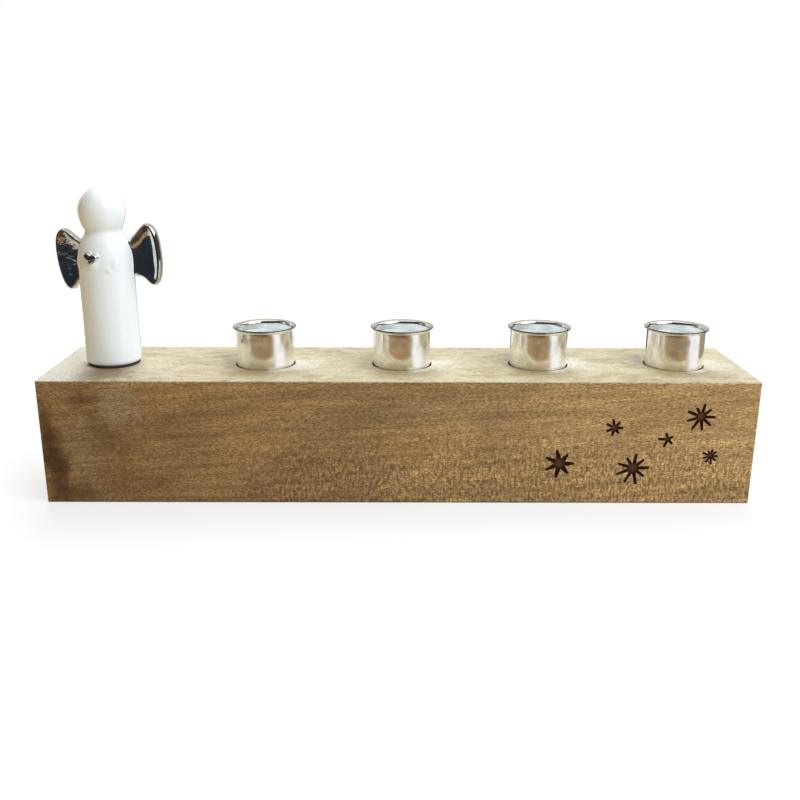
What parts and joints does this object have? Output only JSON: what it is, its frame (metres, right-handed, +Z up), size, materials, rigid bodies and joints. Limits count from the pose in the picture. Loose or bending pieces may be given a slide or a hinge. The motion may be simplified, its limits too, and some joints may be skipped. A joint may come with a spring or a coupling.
{
  "type": "angel candle holder",
  "caption": "Long hardwood block with metal candle cups along its top, a small glazed porcelain angel at one end and engraved stars on the front.",
  "frame": {"origin": "centre of the wooden block's underside", "axes": "+X along the block from the angel's end to the engraved end, +Y from the engraved front to the back, +Z up"},
  "size_m": [0.3, 0.06, 0.1296],
  "materials": {
    "wood": "satin",
    "cup_metal": "polished",
    "felt": "matte",
    "porcelain": "gloss"
  },
  "bodies": {
    "root": {"wood_block": "wood", "candle_cup_1": "cup_metal", "candle_cup_2": "cup_metal", "candle_cup_3": "cup_metal", "candle_cup_4": "cup_metal", "felt_pad": "felt", "angel_figure": "porcelain"}
  },
  "joints": []
}
